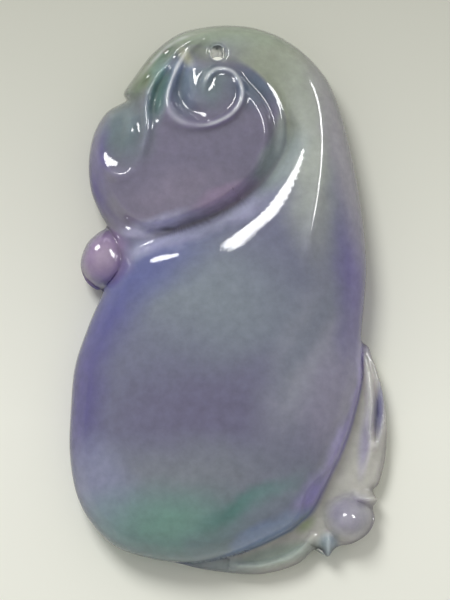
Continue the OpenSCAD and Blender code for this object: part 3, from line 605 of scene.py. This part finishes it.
def stone_mesh(name):
    """Closed mesh of the stone: the front, then a quarter ellipse that turns under from the rim to the
    floor, and the flat back. The points over the rim lean towards the lower end. The shares go on down the
    side as they are at the rim, but edge, which places the painted shade at the outline, fades as
    exp(-depth under the rim / EDGE_FADE)."""
    x, y, z, end_x, end_y, shares = front_surface()
    count = len(x)
    front = np.stack([x, y - LEAN * (z - RIM_Z).clip(0), z], -1).reshape(-1, 3)
    loop = outline_loop(count)
    rim = front[loop]
    inward = np.stack([end_x.ravel()[loop], end_y.ravel()[loop], rim[:, 2]], -1) - rim
    inward /= np.linalg.norm(inward, axis=1)[:, None]
    turn = np.linspace(0, np.pi / 2, UNDER_ROWS + 1)[1:, None, None]
    under = rim + UNDER_IN * (1 - np.cos(turn)) * inward
    under[:, :, 2] = rim[:, 2] * (1 - np.sin(turn[:, :, 0]))
    points = np.concatenate([front, under.reshape(-1, 3)])
    grid = np.arange(count * count).reshape(count, count)
    a, b, c, d = (corner.ravel() for corner in (grid[:-1, :-1], grid[:-1, 1:], grid[1:, 1:], grid[1:, :-1]))
    side = np.arange(count - 1) < RINGS
    same = (side[:, None] == side).ravel()
    faces = np.concatenate([
        np.where(same, [a, b, c], [b, c, d]).T, np.where(same, [a, c, d], [b, d, a]).T])
    rows = np.vstack([loop, count * count + np.arange(UNDER_ROWS * len(loop)).reshape(UNDER_ROWS, -1)])
    after = np.roll(rows, -1, 1)
    skirt = np.stack([rows[:-1], rows[1:], after[1:], after[:-1]], -1).reshape(-1, 4)
    mesh = bpy.data.meshes.new(name)
    back = rows[-1][::-1].tolist()
    mesh.from_pydata((points * MM).tolist(), [], faces.tolist() + skirt.tolist() + [back])
    for title, share in shares.items():
        below = np.tile(share.ravel()[loop], (UNDER_ROWS, 1))
        if title == "edge":
            below = below * np.exp((under[:, :, 2] - rim[:, 2]) / EDGE_FADE)
        column = mesh.attributes.new(title, "FLOAT", "POINT")
        column.data.foreach_set("value", np.concatenate([share.ravel(), below.ravel()]))
    mesh.update()
    return mesh


def bore_mesh(name, sides=BORE_SIDES):
    """Cylinder of the cord hole, from 1 mm under the floor to 1 mm over the stone."""
    turn = np.arange(sides) / sides * 2 * np.pi
    ring = np.stack([HOLE_MID[0] + HOLE_D / 2 * np.cos(turn), HOLE_MID[1] + HOLE_D / 2 * np.sin(turn)], -1)
    low, high = np.full((sides, 1), -1.0), np.full((sides, 1), STONE_DEPTH + 1)
    points = np.vstack([np.hstack([ring, low]), np.hstack([ring, high])])
    here = np.arange(sides)
    after = np.roll(here, -1)
    walls = np.stack([here, after, after + sides, here + sides], -1).tolist()
    mesh = bpy.data.meshes.new(name)
    mesh.from_pydata((points * MM).tolist(), [], walls + [here[::-1].tolist(), (here + sides).tolist()])
    mesh.update()
    return mesh


def place_object(name, mesh):
    """Object for a mesh, at the origin."""
    made = bpy.data.objects.new(name, mesh)
    bpy.context.scene.collection.objects.link(made)
    return made


def drilled_stone():
    """The stone with its cord hole cut straight through, smooth all over except at the hole's edge."""
    stone = place_object("jade_stone", stone_mesh("jade_stone"))
    drill = place_object("drill", bore_mesh("drill"))
    cut = stone.modifiers.new("cord_hole", "BOOLEAN")
    cut.operation = "DIFFERENCE"
    cut.solver = "EXACT"
    cut.object = drill
    view = bpy.context.evaluated_depsgraph_get()
    mesh = bpy.data.meshes.new_from_object(stone.evaluated_get(view))
    stone.modifiers.clear()
    stone.data = mesh
    bpy.data.objects.remove(drill)
    mesh.polygons.foreach_set("use_smooth", np.ones(len(mesh.polygons), bool))
    mesh.set_sharp_from_angle(angle=math.radians(SHARP_ANGLE))
    return stone


def linear(hex_colour):
    """Linear colour with alpha from an sRGB hex value."""
    channels = [int(hex_colour[k:k + 2], 16) / 255 for k in (1, 3, 5)]
    return [c / 12.92 if c <= 0.04045 else ((c + 0.055) / 1.055) ** 2.4 for c in channels] + [1.0]


def add(tree, kind, sockets=None, **settings):
    """Adds a node of this kind with its settings. Each socket gets a plain value or a link to an output."""
    node = tree.nodes.new(kind)
    for name, value in settings.items():
        setattr(node, name, value)
    for key, value in (sockets or {}).items():
        if isinstance(value, bpy.types.NodeSocket):
            tree.links.new(value, node.inputs[key])
        else:
            node.inputs[key].default_value = value
    return node


def new_material(name):
    """Material with an empty node tree, its tree and its output node."""
    material = bpy.data.materials.new(name)
    material.use_nodes = True
    tree = material.node_tree
    tree.nodes.clear()
    return material, tree, tree.nodes.new("ShaderNodeOutputMaterial")


def lay(tree, colour, rows, place, cover=None):
    """Lays clouds over a colour. A cloud is an ellipse: distance from its middle over its half sizes, which
    fades from 1 to 0 over its softness round 1, times the cover."""
    for name, x, y, half_x, half_y, turn, soft, tint, share in rows:
        local = add(tree, "ShaderNodeMapping", {
            "Vector": place, "Location": (x, y, 0), "Rotation": (0, 0, math.radians(turn)),
            "Scale": (half_x, half_y, CLOUD_DEPTH)}, vector_type="TEXTURE", label=name)
        out = add(tree, "ShaderNodeVectorMath", {0: local.outputs[0]}, operation="LENGTH")
        mask = add(tree, "ShaderNodeMapRange", {
            "Value": out.outputs["Value"], "From Min": 1 + soft, "From Max": max(0.0, 1 - soft),
            "To Min": 0.0, "To Max": share}, interpolation_type="SMOOTHSTEP").outputs[0]
        if cover is not None:
            mask = add(tree, "ShaderNodeMath", {0: mask, 1: cover}, operation="MULTIPLY").outputs[0]
        mixed = add(tree, "ShaderNodeMix", {0: mask, 6: colour, 7: linear(tint)}, data_type="RGBA")
        colour = mixed.outputs[2]
    return colour


def jade_colours(tree):
    """Colour of the jade, its grain and the share of the bat. The clouds of the body and the head drift by
    a wide noise. Those of the bat and the specks stay in place. The paler clouds of the valley and of the
    wall under the head are painted light. A fine grain makes small patches paler and darker, the crests of
    the right lip and the stem ridge carry a painted highlight, and a narrow stretch at the outline is darker
    by painted shade."""
    coordinates = add(tree, "ShaderNodeTexCoord")
    place = add(tree, "ShaderNodeVectorMath", {
        0: coordinates.outputs["Object"], 3: 1 / MM}, operation="SCALE").outputs[0]
    drift = add(tree, "ShaderNodeTexNoise", {
        "Vector": place, "Scale": 1 / DRIFT_WIDTH, "Detail": 3.0, "Roughness": 0.55})
    centred = add(tree, "ShaderNodeVectorMath", {
        0: drift.outputs["Color"], 1: (0.5, 0.5, 0.5)}, operation="SUBTRACT")
    moved = add(tree, "ShaderNodeVectorMath", {
        0: centred.outputs[0], 1: CLOUD_DRIFT, 2: place}, operation="MULTIPLY_ADD").outputs[0]
    plate, edge, head, lip = (
        add(tree, "ShaderNodeAttribute", attribute_name=title).outputs["Fac"]
        for title in ("plate", "edge", "head", "lip"))
    right = add(tree, "ShaderNodeSeparateXYZ", {0: place})
    on_bat = add(tree, "ShaderNodeMath", {0: right.outputs["X"], 1: BAT_FROM_X}, operation="GREATER_THAN")
    bat = add(tree, "ShaderNodeMath", {0: plate, 1: on_bat.outputs[0]}, operation="MULTIPLY").outputs[0]
    colour = lay(tree, linear(JADE_GROUND), JADE_CLOUDS, moved)
    colour = lay(tree, colour, HEAD_CLOUDS, moved, head)
    colour = lay(tree, colour, BAT_CLOUDS, place, bat)
    colour = lay(tree, colour, JADE_SPECKS, place)
    grain = add(tree, "ShaderNodeTexNoise", {
        "Vector": place, "Scale": 1 / GRAIN_WIDTH, "Detail": 5.0, "Roughness": 0.6}).outputs["Fac"]
    paler = add(tree, "ShaderNodeMapRange", {
        "Value": grain, "From Min": 0.3, "From Max": 0.7, "To Min": 0.9, "To Max": 1.1})
    mottled = add(tree, "ShaderNodeVectorMath", {0: colour, 3: paler.outputs[0]}, operation="SCALE")
    uneven = add(tree, "ShaderNodeMapRange", {
        "Value": drift.outputs["Fac"], "From Min": 0.4, "From Max": 0.6, "To Min": 0.4, "To Max": 1.0})
    # Painted highlight: the crests of the lip and the stem ridge are mixed towards a near-white colour
    glint_share = add(tree, "ShaderNodeMath", {0: lip, 1: uneven.outputs[0]}, operation="MULTIPLY")
    thin = add(tree, "ShaderNodeMix", {
        0: glint_share.outputs[0], 6: mottled.outputs[0], 7: linear(LIP_GLINT_COLOUR)}, data_type="RGBA")
    # Painted shade: a narrow stretch at the outline is multiplied darker
    outline_shaded = add(tree, "ShaderNodeMix", {
        0: edge, 6: thin.outputs[2], 7: linear(OUTLINE_SHADE_COLOUR)}, data_type="RGBA", blend_type="MULTIPLY")
    return outline_shaded.outputs[2], grain, bat


def polished_jadeite():
    """Jadeite, ground by hand and polished to a mirror gloss, with the IOR of jadeite, 1.66. Light enters,
    spreads a few millimetres and comes back coloured, so the stone looks milky and deep. The thin bat lets
    some light straight through. The polish mirrors the lamps as clear streaks, which shallow waves make a
    little uneven."""
    material, tree, output = new_material("polished_jadeite")
    colour, grain, bat = jade_colours(tree)
    clear = add(tree, "ShaderNodeMath", {0: bat, 1: BAT_CLEAR}, operation="MULTIPLY")
    hand_ground = add(tree, "ShaderNodeBump", {"Height": grain, "Distance": GROUND_WAVES})
    shader = add(tree, "ShaderNodeBsdfPrincipled", {
        "Base Color": colour, "Roughness": 0.04, "IOR": 1.66, "Subsurface Weight": 0.9,
        "Subsurface Radius": (1.0, 0.9, 1.1), "Subsurface Scale": 3 * MM,
        "Transmission Weight": clear.outputs[0], "Normal": hand_ground.outputs[0]})
    tree.links.new(shader.outputs[0], output.inputs["Surface"])
    return material


def pale_paper():
    """Matt white paper with painted shade: a little darker and greyer towards its far side, as the light
    falls off.
    """
    material, tree, output = new_material("pale_paper")
    coordinates = add(tree, "ShaderNodeTexCoord")
    parts = add(tree, "ShaderNodeSeparateXYZ", {0: coordinates.outputs["Object"]})
    fall = add(tree, "ShaderNodeMapRange", {
        "Value": parts.outputs["Y"], "From Min": FLOOR_NEAR[0], "From Max": FLOOR_FAR[0]})
    tone = add(tree, "ShaderNodeMix", {
        0: fall.outputs[0], 6: linear(FLOOR_NEAR[1]), 7: linear(FLOOR_FAR[1])}, data_type="RGBA")
    shader = add(tree, "ShaderNodeBsdfPrincipled", {"Base Color": tone.outputs[2], "Roughness": 0.6})
    tree.links.new(shader.outputs[0], output.inputs["Surface"])
    return material


def plain_floor():
    """Plain flat floor just under the stone."""
    mesh = bpy.data.meshes.new("floor")
    corners = [(x * FLOOR_HALF, y * FLOOR_HALF, FLOOR_Z) for x, y in ((-1, -1), (1, -1), (1, 1), (-1, 1))]
    mesh.from_pydata(corners, [], [(0, 1, 2, 3)])
    floor = place_object("floor", mesh)
    floor.data.materials.append(pale_paper())


def soft_sky():
    """Even, nearly white light from all round."""
    world = bpy.data.worlds.new("soft_sky")
    bpy.context.scene.world = world
    world.use_nodes = True
    background = world.node_tree.nodes["Background"]
    background.inputs["Color"].default_value = SKY_COLOUR
    background.inputs["Strength"].default_value = SKY_STRENGTH


def direction(turn, height):
    """Unit vector of a direction in degrees: its turn from the right, seen from above, and its height."""
    turn, height = math.radians(turn), math.radians(height)
    return Vector((math.cos(height) * math.cos(turn), math.cos(height) * math.sin(turn), math.sin(height)))


def soft_lamps():
    """Soft elliptical lamps that face the stone."""
    for name, turn, height, far, width, length, spin, power, lit, mirrored in LAMPS:
        lamp = bpy.data.lights.new(name, "AREA")
        lamp.shape = "ELLIPSE"
        lamp.size, lamp.size_y = width, length
        lamp.energy = power
        made = place_object(name, lamp)
        towards = direction(turn, height)
        made.location = towards * far
        spun = Quaternion((0, 0, 1), math.radians(spin))
        made.rotation_euler = (towards.to_track_quat("Z", "Y") @ spun).to_euler()
        made.visible_diffuse = lit
        made.visible_transmission = lit
        made.visible_glossy = mirrored


def light_down_the_hole():
    """Narrow lamp that shines down the cord hole along the line of sight. Through the hole the photograph
    shows lit ground."""
    pencil = bpy.data.lights.new("hole_pencil", "SPOT")
    pencil.energy = PENCIL_POWER
    pencil.spot_size = math.radians(PENCIL_WIDTH)
    pencil.spot_blend = 0.0
    pencil.shadow_soft_size = 0.0
    made = place_object("hole_pencil", pencil)
    sight = direction(-90, CAMERA_HEIGHT)
    made.location = Vector((HOLE_MID[0] * MM, HOLE_MID[1] * MM, HOLE_FRONT_Z * MM)) + PENCIL_FAR * sight
    made.rotation_euler = sight.to_track_quat("Z", "Y").to_euler()


def place_camera():
    """Camera that looks down at the stone from its lower end. A millimetre at the rim's height takes
    PIXELS_PER_MM pixels."""
    data = bpy.data.cameras.new("camera")
    camera = place_object("camera", data)
    aim = Vector((PICTURE_MID[0] * MM, PICTURE_MID[1] * MM, RIM_Z * MM))
    camera.location = aim + CAMERA_FAR * direction(-90, CAMERA_HEIGHT)
    camera.rotation_euler = (math.radians(90 - CAMERA_HEIGHT), 0, 0)
    data.sensor_fit = "VERTICAL"
    data.sensor_height = SENSOR
    data.lens = SENSOR * CAMERA_FAR / (PICTURE_SIZE[1] * MM / PIXELS_PER_MM)
    data.clip_start = 0.01
    bpy.context.scene.camera = camera


stone = drilled_stone()
stone.data.materials.clear()
stone.data.materials.append(polished_jadeite())
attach(stone, "root")
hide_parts("carved_stone")

plain_floor()
soft_sky()
soft_lamps()
light_down_the_hole()
place_camera()
bpy.context.scene.view_settings.view_transform = "Standard"
